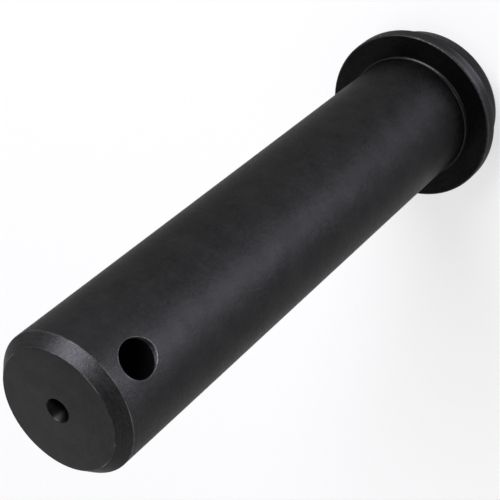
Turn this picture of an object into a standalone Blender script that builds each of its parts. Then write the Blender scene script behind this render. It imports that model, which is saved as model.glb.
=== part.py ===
"""Top link pin for a tractor's three-point linkage, size category 2.

The pin is turned from one steel bar and blackened. It stands on the back of its head, with the tip up:
+Z runs along the pin towards the tip, and the origin is the middle of the head's back.
The cross hole that takes the retaining clip runs along X.
"""
import math

import bmesh
import bpy
import numpy as np

# Shank, the part that carries the load in the top link's ball
SHANK_DIAMETER = 0.0254
SHANK_LENGTH = 0.1111

# Chamfered tip, measured along the pin and inwards from the shank
TIP_CHAMFER_LENGTH = 0.0022
TIP_CHAMFER_DEPTH = 0.00185

# Fillet where the shank meets the head
FOOT_RADIUS = 0.0007

# Head: a flange that bears on the linkage, and a tapered crown behind it
FLANGE_DIAMETER = 0.0355
FLANGE_THICKNESS = 0.0031
RIM_BREAK = 0.00035
RIM_REAR_RADIUS = 0.0006
CROWN_HEIGHT = 0.0062
CROWN_STEP = 0.0006
CROWN_TAPER = 0.0021
BACK_BREAK = 0.0005

# Cross hole near the tip, for the retaining clip
CROSS_HOLE_DIAMETER = 0.0064
CROSS_HOLE_FROM_TIP = 0.0084
CROSS_HOLE_BREAK = 0.0005

# Centre hole in the tip, left from the turning
CENTRE_MOUTH_DIAMETER = 0.0043
CENTRE_CONE_ANGLE = math.radians(60)
CENTRE_PILOT_DIAMETER = 0.0020
CENTRE_PILOT_LENGTH = 0.0012
DRILL_POINT_ANGLE = math.radians(118)

# How finely the round surfaces are divided
PIN_STEPS = 72
HOLE_STEPS = 32
CORNER_STEPS = 4

SHANK_RADIUS = SHANK_DIAMETER / 2
FLANGE_RADIUS = FLANGE_DIAMETER / 2
BEARING_FACE_Z = CROWN_HEIGHT + FLANGE_THICKNESS
TIP_Z = BEARING_FACE_Z + SHANK_LENGTH


def clear_scene():
    for thing in list(bpy.data.objects):
        bpy.data.objects.remove(thing)


def corner_arc(centre, radius, start, end):
    """Points (r, z) on an arc about centre, from one angle in degrees to another."""
    angles = np.radians(np.linspace(start, end, CORNER_STEPS + 1))
    return [(centre[0] + radius * math.cos(a), centre[1] + radius * math.sin(a)) for a in angles]


def centre_hole_section():
    """From the drill point on the axis up the pilot wall and the cone to the mouth in the end face."""
    mouth = CENTRE_MOUTH_DIAMETER / 2
    pilot = CENTRE_PILOT_DIAMETER / 2
    cone_foot = TIP_Z - (mouth - pilot) / math.tan(CENTRE_CONE_ANGLE / 2)
    pilot_foot = cone_foot - CENTRE_PILOT_LENGTH
    point = pilot_foot - pilot / math.tan(DRILL_POINT_ANGLE / 2)
    return [(0, point), (pilot, pilot_foot), (pilot, cone_foot), (mouth, TIP_Z)]


def shank_section():
    """The end face's edge, the chamfer, and the plain shank down to the fillet on the bearing face."""
    chamfer = [
        (SHANK_RADIUS - TIP_CHAMFER_DEPTH, TIP_Z),
        (SHANK_RADIUS, TIP_Z - TIP_CHAMFER_LENGTH),
    ]
    fillet = corner_arc((SHANK_RADIUS + FOOT_RADIUS, BEARING_FACE_Z + FOOT_RADIUS), FOOT_RADIUS, 180, 270)
    return chamfer + fillet


def head_section():
    """The flange's rim, the small step behind it, and the crown down to the flat back."""
    rim_foot = CROWN_HEIGHT + RIM_REAR_RADIUS
    crown_top = FLANGE_RADIUS - CROWN_STEP
    crown_foot = crown_top - CROWN_TAPER
    taper_at_break = CROWN_TAPER * BACK_BREAK / CROWN_HEIGHT
    rim = [
        (FLANGE_RADIUS - RIM_BREAK, BEARING_FACE_Z),
        (FLANGE_RADIUS, BEARING_FACE_Z - RIM_BREAK),
    ]
    rear_corner = corner_arc((FLANGE_RADIUS - RIM_REAR_RADIUS, rim_foot), RIM_REAR_RADIUS, 0, -90)
    crown = [
        (crown_foot + taper_at_break, BACK_BREAK),
        (crown_foot + taper_at_break - BACK_BREAK, 0),
        (0, 0),
    ]
    return rim + rear_corner + crown


def turn(name, section, steps, axis):
    """A turned solid: an open section of (radius, height) points swept once around its axis."""
    shape = bmesh.new()
    across = (1, 0, 0) if axis == "Z" else (0, 0, 1)
    along = (0, 0, 1) if axis == "Z" else (1, 0, 0)
    points = [shape.verts.new([r * a + h * b for a, b in zip(across, along)]) for r, h in section]
    edges = [shape.edges.new(pair) for pair in zip(points, points[1:])]
    bmesh.ops.spin(shape, geom=points + edges, cent=(0, 0, 0), axis=along, angle=math.tau,
                   steps=steps, use_merge=True)
    bmesh.ops.remove_doubles(shape, verts=shape.verts, dist=1e-7)
    bmesh.ops.recalc_face_normals(shape, faces=shape.faces)
    mesh = bpy.data.meshes.new(name)
    shape.to_mesh(mesh)
    shape.free()
    mesh.shade_smooth()
    mesh.set_sharp_from_angle(angle=math.radians(15))
    solid = bpy.data.objects.new(name, mesh)
    bpy.context.collection.objects.link(solid)
    return solid


def black_oxide_steel():
    material = bpy.data.materials.new("black_oxide_steel")
    material.use_nodes = True
    surface = material.node_tree.nodes["Principled BSDF"]
    oxide_black = (0.03, 0.03, 0.031, 1)
    surface.inputs["Base Color"].default_value = oxide_black
    surface.inputs["Metallic"].default_value = 1.0
    surface.inputs["Roughness"].default_value = 0.42
    material.diffuse_color = oxide_black
    return material


def cross_hole_cutter():
    """A drill's path through the pin, widening at 45 degrees where it leaves the shank on either side."""
    bore = CROSS_HOLE_DIAMETER / 2
    flare = SHANK_RADIUS - CROSS_HOLE_BREAK
    run_out = SHANK_RADIUS + CROSS_HOLE_BREAK
    mouth = bore + run_out - flare
    section = [(0, run_out), (mouth, run_out), (bore, flare), (bore, -flare), (mouth, -run_out), (0, -run_out)]
    cutter = turn("cross_hole_cutter", section, HOLE_STEPS, "X")
    cutter.location = (0, 0, TIP_Z - CROSS_HOLE_FROM_TIP)
    cutter.hide_render = True
    cutter.display_type = "WIRE"
    return cutter


def top_link_pin():
    section = centre_hole_section() + shank_section() + head_section()
    pin = turn("top_link_pin", section, PIN_STEPS, "Z")
    pin.data.materials.append(black_oxide_steel())
    drilling = pin.modifiers.new("Cross hole", "BOOLEAN")
    drilling.operation = "DIFFERENCE"
    drilling.solver = "EXACT"
    drilling.object = cross_hole_cutter()
    return pin


clear_scene()
top_link_pin()
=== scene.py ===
"""Looks of the top link pin: turned steel, blackened and oiled.

It stands on the back of its head with the tip up.
"""
import math

import bmesh
import bpy
from mathutils import Matrix, Vector


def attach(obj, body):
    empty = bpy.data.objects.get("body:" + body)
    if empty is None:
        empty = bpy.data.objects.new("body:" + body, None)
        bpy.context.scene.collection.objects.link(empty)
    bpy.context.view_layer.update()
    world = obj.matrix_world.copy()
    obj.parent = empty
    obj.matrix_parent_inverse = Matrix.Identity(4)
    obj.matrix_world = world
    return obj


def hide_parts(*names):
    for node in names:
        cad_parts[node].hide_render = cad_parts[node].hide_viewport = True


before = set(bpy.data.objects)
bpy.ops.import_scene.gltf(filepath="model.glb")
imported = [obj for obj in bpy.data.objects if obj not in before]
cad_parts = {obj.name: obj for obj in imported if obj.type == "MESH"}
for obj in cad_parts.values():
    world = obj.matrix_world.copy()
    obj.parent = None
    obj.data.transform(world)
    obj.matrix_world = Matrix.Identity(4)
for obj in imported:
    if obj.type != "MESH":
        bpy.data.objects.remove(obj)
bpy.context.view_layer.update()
bpy.ops.object.select_all(action="DESELECT")

# The head: a flange that bears on the linkage, and a tapered crown behind it. It is turned from the same bar
# as the shank, so it starts the pin's mesh. The lathe leaves a small break on its two outer edges.
CROWN_HEIGHT = 0.0062
CROWN_FOOT_RADIUS = 0.01505
CROWN_TOP_RADIUS = 0.01715
FLANGE_RADIUS = 0.01775
BEARING_FACE_Z = 0.0093
BACK_BREAK = 0.0005
RIM_REAR_RADIUS = 0.0006
RIM_BREAK = 0.00035
PIN_FACETS = 256
FACES_ALONG = 0.9

bpy.ops.mesh.primitive_cylinder_add(vertices=PIN_FACETS, radius=CROWN_FOOT_RADIUS, depth=CROWN_HEIGHT,
                                    end_fill_type="NGON", location=(0, 0, CROWN_HEIGHT / 2))
pin = bpy.context.object
pin.name = "blackened_pin"
pin.data.name = "blackened_pin"
bpy.ops.object.transform_apply(location=True)


def select_faces(mesh, wanted):
    """Selects the faces for which wanted says yes, and nothing else."""
    bpy.ops.mesh.select_mode(type="FACE")
    bpy.ops.mesh.select_all(action="DESELECT")
    shape = bmesh.from_edit_mesh(mesh)
    for face in shape.faces:
        if wanted(face):
            face.select_set(True)
    bmesh.update_edit_mesh(mesh)


def cut_face(radius, height):
    """Takes the selected end face to the lathe's next stop: a new radius at a new height."""
    shape = bmesh.from_edit_mesh(bpy.context.object.data)
    corner = next(v.co for v in shape.verts if v.select)
    share = radius / math.hypot(corner.x, corner.y)
    rise = height - corner.z
    bpy.ops.mesh.extrude_region_move(TRANSFORM_OT_translate={"value": (0, 0, rise)})
    bpy.ops.transform.resize(value=(share, share, 1), center_override=(0, 0, height))


bpy.ops.object.mode_set(mode="EDIT")
select_faces(pin.data, lambda face: face.normal.z > FACES_ALONG)
crown_widening = CROWN_TOP_RADIUS / CROWN_FOOT_RADIUS
bpy.ops.transform.resize(value=(crown_widening, crown_widening, 1), center_override=(0, 0, CROWN_HEIGHT))
cut_face(FLANGE_RADIUS, CROWN_HEIGHT)
cut_face(FLANGE_RADIUS, BEARING_FACE_Z)

# The shank: the plain round part that carries the load in the top link's ball. A small fillet joins it to the
# flange, and the tip is chamfered so that it finds the bore.
SHANK_RADIUS = 0.0127
FOOT_RADIUS = 0.0007
TIP_Z = 0.1204
CHAMFER_LENGTH = 0.0022
FACE_RADIUS = 0.01085
CHAMFER_SOFTENING = 0.00012
SHANK_RINGS = 24

cut_face(SHANK_RADIUS, BEARING_FACE_Z)
chamfer_foot = TIP_Z - CHAMFER_LENGTH
for ring in range(1, SHANK_RINGS + 1):
    cut_face(SHANK_RADIUS, BEARING_FACE_Z + (chamfer_foot - BEARING_FACE_Z) * ring / SHANK_RINGS)
cut_face(FACE_RADIUS, TIP_Z)

# The centre hole: drilled in the tip to hold the bar while it was turned. A 60 degree cone runs down to a
# narrow pilot with a drilled point.
MOUTH_RADIUS = 0.00215
PILOT_RADIUS = 0.001
PILOT_LENGTH = 0.0012
CONE_ANGLE = math.radians(60)
DRILL_POINT_ANGLE = math.radians(118)
MOUTH_SOFTENING = 0.00006
SAME_PLACE = 1e-6
SAME_POINT = 1e-7

cone_foot = TIP_Z - (MOUTH_RADIUS - PILOT_RADIUS) / math.tan(CONE_ANGLE / 2)
pilot_foot = cone_foot - PILOT_LENGTH
drill_point = pilot_foot - PILOT_RADIUS / math.tan(DRILL_POINT_ANGLE / 2)
cut_face(MOUTH_RADIUS, TIP_Z)
cut_face(PILOT_RADIUS, cone_foot)
cut_face(PILOT_RADIUS, pilot_foot)
bpy.ops.mesh.extrude_region_move(TRANSFORM_OT_translate={"value": (0, 0, drill_point - pilot_foot)})
bpy.ops.mesh.merge(type="CENTER")


def soften_edges(mesh, wanted, width, steps):
    """Bevels the edges for which wanted says yes, all to one width."""
    bpy.ops.mesh.select_mode(type="EDGE")
    bpy.ops.mesh.select_all(action="DESELECT")
    shape = bmesh.from_edit_mesh(mesh)
    for edge in shape.edges:
        if wanted(edge):
            edge.select_set(True)
    bmesh.update_edit_mesh(mesh)
    bpy.ops.mesh.bevel(offset_type="OFFSET", offset=width, segments=steps, profile=0.5, affect="EDGES")


def on_ring(edge, radius, height):
    """Whether an edge lies on the ring that runs round the pin at one radius and height."""
    across = [abs(math.hypot(v.co.x, v.co.y) - radius) for v in edge.verts]
    along = [abs(v.co.z - height) for v in edge.verts]
    return max(across + along) < SAME_PLACE


# The turned edges: each one's radius and height, the width of its bevel and the bevel's steps
for ring_radius, ring_height, bevel_width, bevel_steps in (
        (CROWN_FOOT_RADIUS, 0, BACK_BREAK, 4),
        (FLANGE_RADIUS, CROWN_HEIGHT, RIM_REAR_RADIUS, 6),
        (FLANGE_RADIUS, BEARING_FACE_Z, RIM_BREAK, 4),
        (SHANK_RADIUS, BEARING_FACE_Z, FOOT_RADIUS, 10),
        (SHANK_RADIUS, chamfer_foot, CHAMFER_SOFTENING, 3),
        (FACE_RADIUS, TIP_Z, CHAMFER_SOFTENING, 3),
        (MOUTH_RADIUS, TIP_Z, MOUTH_SOFTENING, 2)):
    soften_edges(pin.data, lambda edge: on_ring(edge, ring_radius, ring_height), bevel_width, bevel_steps)
bpy.ops.mesh.select_all(action="SELECT")
bpy.ops.mesh.remove_doubles(threshold=SAME_POINT)
bpy.ops.mesh.normals_make_consistent(inside=False)
bpy.ops.object.mode_set(mode="OBJECT")

# The cross hole: drilled through the tip end for the retaining clip, and broken with a countersink where it
# leaves the shank on either side.
HOLE_RADIUS = 0.0032
HOLE_FROM_TIP = 0.0084
HOLE_BREAK = 0.0005
HOLE_BREAK_SOFTENING = 0.0001
HOLE_BREAK_STEPS = 4
HOLE_FACETS = 128
SMOOTHED_BELOW = math.radians(35)

hole_z = TIP_Z - HOLE_FROM_TIP
flare_foot = SHANK_RADIUS - HOLE_BREAK
bpy.ops.mesh.primitive_cylinder_add(vertices=HOLE_FACETS, radius=HOLE_RADIUS, depth=2 * flare_foot,
                                    end_fill_type="NGON", location=(0, 0, hole_z),
                                    rotation=(0, math.pi / 2, 0))
drill = bpy.context.object
bpy.ops.object.transform_apply(location=True, rotation=True)
bpy.ops.object.mode_set(mode="EDIT")
flare_widening = (HOLE_RADIUS + 2 * HOLE_BREAK) / HOLE_RADIUS
for side in (1, -1):
    select_faces(drill.data, lambda face: face.normal.x * side > FACES_ALONG)
    bpy.ops.mesh.extrude_region_move(TRANSFORM_OT_translate={"value": (side * 2 * HOLE_BREAK, 0, 0)})
    bpy.ops.transform.resize(value=(1, flare_widening, flare_widening), center_override=(0, 0, hole_z))


def at_flare_foot(edge):
    """Whether an edge lies on either ring where the drill's path begins to widen."""
    first, second = (v.co.x for v in edge.verts)
    return first * second > 0 and all(abs(abs(x) - flare_foot) < SAME_PLACE for x in (first, second))


soften_edges(drill.data, at_flare_foot, HOLE_BREAK_SOFTENING, HOLE_BREAK_STEPS)
bpy.ops.object.mode_set(mode="OBJECT")

bpy.ops.object.select_all(action="DESELECT")
bpy.context.view_layer.objects.active = pin
pin.select_set(True)
drilling = pin.modifiers.new("Drilling", "BOOLEAN")
drilling.operation = "DIFFERENCE"
drilling.solver = "EXACT"
drilling.object = drill
bpy.ops.object.modifier_apply(modifier=drilling.name)
bpy.data.objects.remove(drill)

bpy.ops.object.shade_smooth_by_angle(angle=SMOOTHED_BELOW)
evening = pin.modifiers.new("Flat faces stay flat", "WEIGHTED_NORMAL")
evening.mode = "FACE_AREA"
evening.keep_sharp = True
bpy.ops.object.modifier_apply(modifier=evening.name)


# The finish: the steel is blackened in a hot salt bath and oiled. The lathe's fine rings show through the
# uneven oxide. It is rubbed thin along the turned edges, round the mouths of the cross hole and at the tip,
# which is handled most, and the side of the head is streaked by a coarser cut.
# Painted shade darkens the centre hole, the bore of the cross hole and the crown behind the flange.
OXIDE_DARK = (0.0152, 0.0152, 0.0158, 1)
OXIDE_LIGHT = (0.0290, 0.0289, 0.0290, 1)
RUBBED_STEEL = (0.09, 0.09, 0.092, 1)
# Black for the dark streaks of the coarse cut and for the painted shade in the holes and on the crown
STREAK_AND_PAINTED_SHADE_BLACK = (0, 0, 0, 1)
GRAZING_TINT = (0.53, 0.53, 0.53, 1)
OIL_GLOSS = 0.2

# Each grain: how many to the metre, its detail and its roughness. The turned ones are drawn out round the pin
RINGS = (5200, 4, 0.62)
STREAKS = (900, 3, 0.6)
SPECKS = (4500, 2, 0.5)
MOTTLE = (1300, 3, 0.65)
PATCHES = (260, 3, 0.55)
RAGGED_EDGE = (1400, 3, 0.5)
DRAWN_OUT = 0.03

# The levels between which each grain, or a mix of grains, goes from nothing to full
OXIDE_SPREAD = (0.38, 0.62)
STREAKS_SPREAD = (0.43, 0.57)
SPECKLE_SPREAD = (0.8, 1.2)
PATCHES_SPREAD = (0.42, 0.58)
RAGGED_SPREAD = (0.3, 0.7)
ROUGHNESS_SPREAD = (0.35, 0.65)
EQUAL_SHARE = 0.5

# Share of each grain in the oxide's shade, and its weight in the relief
RINGS_SHADE = 0.18
SPECKS_SHADE = 0.27
MOTTLE_SHADE = 0.28
PATCHES_SHADE = 0.27
SPECKS_RELIEF = 1.8
MOTTLE_RELIEF = 2.9
STREAKS_RELIEF = 6.0

# Rubbing beside an edge: its width, and how near the flange's front edge and the hole's mouth count
RUB_NARROWEST = 0.00006
RUB_WIDEST = 0.00022
RUB_FADE = (0.3, 1.0)
RUB_LEAST = 0.3
SPECKLE_LEAST = 0.2
FRONT_EDGE_NEARNESS = 0.72
HOLE_MOUTH_NEARNESS = 1.25
HANDLED_FROM = 0.098
HANDLED_MOST_FROM = 0.117

# Where the finish passes from one part to the next: shares of the rear radius and the fillet, and a margin
CROWN_REACH = 0.7
FILLET_INSET = 0.15
FILLET_RISE = 0.05
BORE_MARGIN = 0.00002

# How far parts of the pin are rubbed towards steel, streaked towards black, or darkened towards black as
# painted shade in the centre hole, the cross hole's bore and on the crown
HANDLED_RUB = 0.08
CHAMFER_RUB = 0.3
RIM_RUB = 0.3
FILLET_RUB = 0.08
CENTRE_HOLE_PAINTED_SHADE = 0.5
RIM_STREAKING = 0.3
CROWN_STREAKING = 0.6
CROWN_PAINTED_SHADE = 0.3
BORE_PAINTED_SHADE = 0.7

# Share of oil over the metal: on the ridges between the streaks of the head's side, and everywhere else
CROWN_OIL = 0.2
RIM_OIL = 0.14
PLAIN_OIL = 0.06

# Roughness of the flat faces and of rubbed steel, and what each other part adds to it
SMOOTHEST = 0.27
ROUGHEST = 0.33
RUBBED_ROUGHNESS = 0.3
SHANK_ROUGHER = 0.16
CHAMFER_ROUGHER = 0.13
RIM_ROUGHER = 0.16
CROWN_ROUGHER = 0.2
BORE_ROUGHER = 0.2
CENTRE_ROUGHER = 0.08

# Relief of the surface: its depth and strength, and how much of it the chamfer and the flat faces keep
RELIEF_DEPTH = 0.00003
RELIEF_STRENGTH = 0.7
CHAMFER_RELIEF = 0.42
FACE_RELIEF = 0.1


def blackened_steel():
    material = bpy.data.materials.new("blackened_steel")
    material.use_nodes = True
    nodes = material.node_tree.nodes
    links = material.node_tree.links
    surface = nodes["Principled BSDF"]

    def put(kind, **settings):
        node = nodes.new(kind)
        for name, value in settings.items():
            setattr(node, name, value)
        return node

    def feed(node, socket, source):
        if isinstance(source, bpy.types.NodeSocket):
            links.new(source, node.inputs[socket])
        else:
            node.inputs[socket].default_value = source

    def reckon(operation, first, second=0.0):
        node = put("ShaderNodeMath", operation=operation)
        feed(node, 0, first)
        feed(node, 1, second)
        return node.outputs[0]

    def both(first, second):
        return reckon("MULTIPLY", first, second)

    def above(source, level):
        return reckon("GREATER_THAN", source, level)

    def below(source, level):
        return reckon("LESS_THAN", source, level)

    def total(*weighted):
        """The sum of grains or masks, each given with its weight."""
        whole = both(*weighted[0])
        for source, weight in weighted[1:]:
            whole = reckon("ADD", whole, both(source, weight))
        return whole

    def place(x, y, z):
        node = put("ShaderNodeCombineXYZ")
        for socket, source in zip("XYZ", (x, y, z)):
            feed(node, socket, source)
        return node.outputs[0]

    def length(vector):
        node = put("ShaderNodeVectorMath", operation="LENGTH")
        feed(node, 0, vector)
        return node.outputs["Value"]

    def gap(vector, spot):
        node = put("ShaderNodeVectorMath", operation="DISTANCE")
        feed(node, 0, vector)
        feed(node, 1, spot)
        return node.outputs["Value"]

    def grain(vector, per_metre, detail, roughness):
        node = put("ShaderNodeTexNoise")
        feed(node, "Vector", vector)
        feed(node, "Scale", per_metre)
        feed(node, "Detail", detail)
        feed(node, "Roughness", roughness)
        return node.outputs["Fac"]

    def spread(source, low, high, new_low=0.0, new_high=1.0):
        node = put("ShaderNodeMapRange", clamp=True)
        for socket, value in zip(("Value", "From Min", "From Max", "To Min", "To Max"),
                                 (source, low, high, new_low, new_high)):
            feed(node, socket, value)
        return node.outputs[0]

    def blend(share, first, second, kind="RGBA"):
        node = put("ShaderNodeMix", data_type=kind)
        feed(node, "Factor", share)
        feed(node, "A", first)
        feed(node, "B", second)
        return node.outputs["Result"]

    # Places on the pin, and the grains that run through all of its parts
    at = put("ShaderNodeTexCoord").outputs["Object"]
    parts = put("ShaderNodeSeparateXYZ")
    feed(parts, 0, at)
    x, y, z = parts.outputs
    radius = length(place(x, y, 0.0))
    turned = place(both(x, DRAWN_OUT), both(y, DRAWN_OUT), reckon("SUBTRACT", radius, z))
    rings = grain(turned, *RINGS)
    coarse = grain(turned, *STREAKS)
    fine = grain(at, *SPECKS)
    mottle = grain(at, *MOTTLE)
    patches = grain(at, *PATCHES)

    # The parts of the pin, each 1 on the part and 0 elsewhere
    from_hole = length(place(0.0, y, reckon("SUBTRACT", z, hole_z)))
    crown_end = CROWN_HEIGHT + RIM_REAR_RADIUS * CROWN_REACH
    on_tip = above(z, chamfer_foot)
    on_chamfer = both(on_tip, above(radius, FACE_RADIUS))
    on_shank = reckon("SUBTRACT", above(z, BEARING_FACE_Z + FOOT_RADIUS), on_tip)
    on_fillet = both(above(radius, SHANK_RADIUS + FOOT_RADIUS * FILLET_INSET),
                     above(z, BEARING_FACE_Z + FOOT_RADIUS * FILLET_RISE))
    on_rim = both(above(radius, FLANGE_RADIUS - RIM_BREAK), above(z, crown_end))
    on_crown = below(z, crown_end)
    on_head_side = reckon("MAXIMUM", on_crown, on_rim)
    in_bore = below(from_hole, HOLE_RADIUS + BORE_MARGIN)
    in_centre = both(below(radius, MOUTH_RADIUS - MOUTH_SOFTENING), above(z, drill_point - PILOT_RADIUS))

    # Where the oxide is rubbed thin: within a ragged width of the nearest turned edge or hole mouth
    section = place(radius, 0.0, z)
    nearest = both(gap(section, (FLANGE_RADIUS, 0, BEARING_FACE_Z)), FRONT_EDGE_NEARNESS)
    for edge_radius, edge_height in ((FACE_RADIUS, TIP_Z), (SHANK_RADIUS, chamfer_foot),
                                     (CROWN_FOOT_RADIUS, 0)):
        nearest = reckon("MINIMUM", nearest, gap(section, (edge_radius, 0, edge_height)))
    off_flare = reckon("SUBTRACT", from_hole, reckon("ABSOLUTE", x))
    from_mouth = gap(place(radius, 0.0, off_flare), (SHANK_RADIUS, 0, HOLE_RADIUS - flare_foot))
    nearest = reckon("MINIMUM", nearest, both(from_mouth, HOLE_MOUTH_NEARNESS))
    ragged = spread(grain(at, *RAGGED_EDGE), *RAGGED_SPREAD, RUB_NARROWEST, RUB_WIDEST)
    rubbed = both(spread(reckon("DIVIDE", nearest, ragged), *RUB_FADE, 1.0, 0.0),
                  spread(patches, *PATCHES_SPREAD, RUB_LEAST))

    # Colour: the oxide's tone, then what has been rubbed or streaked, and painted shade in the holes and on
    # the crown
    shade = total((patches, PATCHES_SHADE), (mottle, MOTTLE_SHADE), (fine, SPECKS_SHADE),
                  (rings, RINGS_SHADE))
    colour = blend(spread(shade, *OXIDE_SPREAD), OXIDE_DARK, OXIDE_LIGHT)
    handled = spread(z, HANDLED_FROM, HANDLED_MOST_FROM)
    streaks = spread(coarse, *STREAKS_SPREAD)
    speckle = spread(reckon("ADD", fine, rings), *SPECKLE_SPREAD, SPECKLE_LEAST)
    for where, share, toward in (
            (handled, HANDLED_RUB, RUBBED_STEEL),
            (both(on_chamfer, speckle), CHAMFER_RUB, RUBBED_STEEL),
            (on_rim, RIM_RUB, RUBBED_STEEL),
            (on_fillet, FILLET_RUB, RUBBED_STEEL),
            # painted shade: the centre hole darkened towards black
            (in_centre, CENTRE_HOLE_PAINTED_SHADE, STREAK_AND_PAINTED_SHADE_BLACK),
            (both(on_rim, streaks), RIM_STREAKING, STREAK_AND_PAINTED_SHADE_BLACK),
            (both(on_crown, streaks), CROWN_STREAKING, STREAK_AND_PAINTED_SHADE_BLACK),
            # painted shade: the crown behind the flange darkened towards black
            (on_crown, CROWN_PAINTED_SHADE, STREAK_AND_PAINTED_SHADE_BLACK),
            # painted shade: the cross hole's bore darkened towards black
            (in_bore, BORE_PAINTED_SHADE, STREAK_AND_PAINTED_SHADE_BLACK)):
        colour = blend(both(where, share), colour, toward)
    feed(surface, "Base Color", blend(rubbed, colour, RUBBED_STEEL))

    # Metal under a film of oil: the film is even but for the side of the head, where only the ridges hold it
    ridges = reckon("SUBTRACT", 1.0, streaks)
    oiled = total((reckon("SUBTRACT", 1.0, on_head_side), PLAIN_OIL), (both(on_crown, ridges), CROWN_OIL),
                  (both(on_rim, ridges), RIM_OIL))
    feed(surface, "Metallic", reckon("SUBTRACT", 1.0, oiled))

    # Roughness: the flat faces are smoothest, and every part is a little uneven. The unevenness is a half on
    # average, so it is doubled where it scales what a part adds
    uneven = total((mottle, EQUAL_SHARE), (rings, EQUAL_SHARE))
    roughness = spread(uneven, *ROUGHNESS_SPREAD, SMOOTHEST, ROUGHEST)
    for where, rougher in (
            (on_crown, CROWN_ROUGHER),
            (on_rim, RIM_ROUGHER),
            (on_shank, SHANK_ROUGHER),
            (on_chamfer, CHAMFER_ROUGHER),
            (in_bore, BORE_ROUGHER),
            (in_centre, CENTRE_ROUGHER)):
        roughness = reckon("ADD", roughness, both(where, both(uneven, 2 * rougher)))
    feed(surface, "Roughness", blend(rubbed, roughness, RUBBED_ROUGHNESS, "FLOAT"))

    # Relief: the turning's rings and the fine grain, fullest on the shank and the side of the head
    height = total((rings, 1.0), (fine, SPECKS_RELIEF), (mottle, MOTTLE_RELIEF),
                   (coarse, both(on_head_side, STREAKS_RELIEF)))
    coarser = total((on_shank, 1.0), (on_head_side, 1.0), (on_chamfer, CHAMFER_RELIEF))
    kept = reckon("ADD", coarser, FACE_RELIEF)
    relief = put("ShaderNodeBump")
    feed(relief, "Strength", RELIEF_STRENGTH)
    feed(relief, "Distance", RELIEF_DEPTH)
    feed(relief, "Height", both(height, kept))
    feed(surface, "Normal", relief.outputs[0])
    surface.inputs["Specular Tint"].default_value = GRAZING_TINT
    surface.inputs["Specular IOR Level"].default_value = OIL_GLOSS
    return material


pin.data.materials.clear()
pin.data.materials.append(blackened_steel())
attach(pin, "root")
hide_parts("top_link_pin")

# The floor: a wide white board under the pin. The camera and the steel see it white, and it keeps the pin's
# faint shadow. Away from the lamps it glows more for the camera, so that it runs into the white of the room.
FLOOR_WIDTH = 40.0
FLOOR_GREY = 0.35
FLOOR_GLOW = 0.66
FAR_GLOW = 0.24
FAR_FROM = 0.35
FAR_FULLY_FROM = 2.0
FLOOR_ROUGHNESS = 0.9

bpy.ops.mesh.primitive_plane_add(size=FLOOR_WIDTH, location=(0, 0, 0))
floor = bpy.context.object
floor.name = "floor"


def white_board():
    material = bpy.data.materials.new("white_board")
    material.use_nodes = True
    nodes = material.node_tree.nodes
    links = material.node_tree.links
    surface = nodes["Principled BSDF"]
    surface.inputs["Base Color"].default_value = (FLOOR_GREY, FLOOR_GREY, FLOOR_GREY, 1)
    surface.inputs["Roughness"].default_value = FLOOR_ROUGHNESS
    surface.inputs["Specular IOR Level"].default_value = 0.0
    surface.inputs["Emission Color"].default_value = (1, 1, 1, 1)

    def reckon(operation, *sources):
        node = nodes.new("ShaderNodeMath")
        node.operation = operation
        for socket, source in zip(node.inputs, sources):
            if isinstance(source, bpy.types.NodeSocket):
                links.new(source, socket)
            else:
                socket.default_value = source
        return node.outputs[0]

    seen = nodes.new("ShaderNodeLightPath").outputs
    mirrored = reckon("MAXIMUM", seen["Is Glossy Ray"], seen["Is Transmission Ray"])
    glow = reckon("MULTIPLY", reckon("MAXIMUM", seen["Is Camera Ray"], mirrored), FLOOR_GLOW)
    spot = nodes.new("ShaderNodeTexCoord")
    away = nodes.new("ShaderNodeVectorMath")
    away.operation = "LENGTH"
    links.new(spot.outputs["Object"], away.inputs[0])
    far = nodes.new("ShaderNodeMapRange")
    far.interpolation_type = "SMOOTHSTEP"
    far.inputs["From Min"].default_value = FAR_FROM
    far.inputs["From Max"].default_value = FAR_FULLY_FROM
    far.inputs["To Max"].default_value = FAR_GLOW
    links.new(away.outputs["Value"], far.inputs["Value"])
    whitened = reckon("MULTIPLY_ADD", far.outputs[0], seen["Is Camera Ray"], glow)
    links.new(whitened, surface.inputs["Emission Strength"])
    return material


floor.data.materials.append(white_board())

# The camera looks down on the tip from the same side and at the same roll as in the photograph.
CAMERA_PLACE = (0.17662, 0.0239, 0.23953)
CAMERA_TURN = (-33.741, 33.555, -42.677)
CAMERA_LENS = 101.25
SENSOR_WIDTH = 36.0
NEAREST_SEEN = 0.01
FARTHEST_SEEN = 40.0

bpy.ops.object.camera_add(location=CAMERA_PLACE, rotation=[math.radians(turn) for turn in CAMERA_TURN])
camera = bpy.context.object
camera.data.lens = CAMERA_LENS
camera.data.sensor_width = SENSOR_WIDTH
camera.data.clip_start = NEAREST_SEEN
camera.data.clip_end = FARTHEST_SEEN
bpy.context.scene.camera = camera

# The studio lamps: a soft one to the left of the camera, which lights the chamfer, a faint one behind the
# pin, which the end face mirrors, and a faint one overhead.
CAMERA_SIDE = math.degrees(math.atan2(CAMERA_PLACE[1], CAMERA_PLACE[0]))
LAMP_DISTANCE = 1.0
PLAIN_WHITE = (1.0, 1.0, 1.0)
COOL_WHITE = (0.92, 0.905, 1.0)

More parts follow.
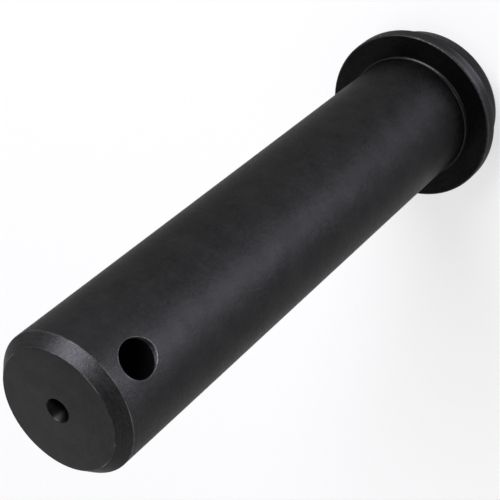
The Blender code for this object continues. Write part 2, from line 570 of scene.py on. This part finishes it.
# Each lamp: name, angle from the camera's side, height in degrees, width, length, radiance, colour
for name, side, height, across, along, radiance, tint in (
        ("left_softbox", 52, 40, 0.72, 0.72, 9.2, COOL_WHITE),
        ("back_softbox", 180, 28, 1.2, 0.27, 2.1, PLAIN_WHITE),
        ("top_softbox", 0, 88, 0.5, 0.5, 2.5, PLAIN_WHITE)):
    turn = math.radians(CAMERA_SIDE + side)
    rise = math.radians(height)
    away = Vector((math.cos(rise) * math.cos(turn), math.cos(rise) * math.sin(turn), math.sin(rise)))
    bpy.ops.object.light_add(type="AREA", location=Vector((0, 0, chamfer_foot)) + away * LAMP_DISTANCE,
                             rotation=away.to_track_quat("Z", "Y").to_euler())
    lamp = bpy.context.object
    lamp.name = name
    lamp.data.shape = "ELLIPSE"
    lamp.data.size = across
    lamp.data.size_y = along
    lamp.data.energy = radiance * math.pi * (math.pi / 4 * across * along)
    lamp.data.color = tint
    lamp.visible_camera = False

# Light lying on the floor, face up and unseen by the camera, because the shank mirrors the floor. Four strips
# in front draw its long highlight, and three fills on the other side keep it from going black there.
LIGHT_HEIGHT = 0.001
STRIP_TINT = (0.86, 0.84, 1.0)

# Each one: name, place towards the camera and beside that line, heading in degrees, length, width, radiance
# and colour
to_camera = Matrix.Rotation(math.radians(CAMERA_SIDE), 3, "Z")
for name, ahead, aside, heading, length, width, radiance, tint in (
        ("strip_near", 0.0364, -0.0078, -32, 0.037, 0.014, 2.3, STRIP_TINT),
        ("strip_middle", 0.0751, -0.0317, -32, 0.054, 0.032, 3.3, STRIP_TINT),
        ("strip_far", 0.1970, -0.0700, -12, 0.190, 0.080, 6.5, STRIP_TINT),
        ("strip_end", 0.2250, -0.0600, -15, 0.120, 0.070, 11.0, STRIP_TINT),
        ("fill_near", -0.0095, -0.038, -120, 0.034, 0.018, 0.6, PLAIN_WHITE),
        ("fill_middle", -0.0245, -0.064, -120, 0.034, 0.036, 0.6, PLAIN_WHITE),
        ("fill_far", -0.0645, -0.133, -120, 0.135, 0.095, 0.6, PLAIN_WHITE)):
    middle = to_camera @ Vector((ahead, aside, LIGHT_HEIGHT))
    turn = math.radians(CAMERA_SIDE + heading)
    bpy.ops.object.light_add(type="AREA", location=middle, rotation=(math.pi, 0, turn))
    light = bpy.context.object
    light.name = name
    light.data.shape = "RECTANGLE"
    light.data.size = length
    light.data.size_y = width
    light.data.energy = radiance * math.pi * length * width
    light.data.color = tint
    light.visible_camera = False

# The room: white near the floor, grey higher up and almost black overhead. Each pair is how far up, from 0 at
# the horizon to 1 straight overhead, and how bright.
ROOM_LOWEST = (0.05, 1.0)
ROOM_HIGHEST = (0.9, 0.04)
ROOM_BETWEEN = ((0.3, 0.6), (0.46, 0.48), (0.6, 0.07))

room = bpy.data.worlds.new("studio")
room.use_nodes = True
room_nodes = room.node_tree.nodes
room_links = room.node_tree.links
outward = room_nodes.new("ShaderNodeTexCoord")
upward = room_nodes.new("ShaderNodeSeparateXYZ")
levels = room_nodes.new("ShaderNodeValToRGB")
room_links.new(outward.outputs["Generated"], upward.inputs[0])
room_links.new(upward.outputs["Z"], levels.inputs[0])
room_links.new(levels.outputs[0], room_nodes["Background"].inputs["Color"])
levels.color_ramp.interpolation = "EASE"
stops = levels.color_ramp.elements
for stop, (height, level) in zip(list(stops), (ROOM_LOWEST, ROOM_HIGHEST)):
    stop.position = height
    stop.color = (level, level, level, 1)
for height, level in ROOM_BETWEEN:
    stop = stops.new(height)
    stop.color = (level, level, level, 1)
bpy.context.scene.world = room
bpy.context.scene.view_settings.view_transform = "Standard"
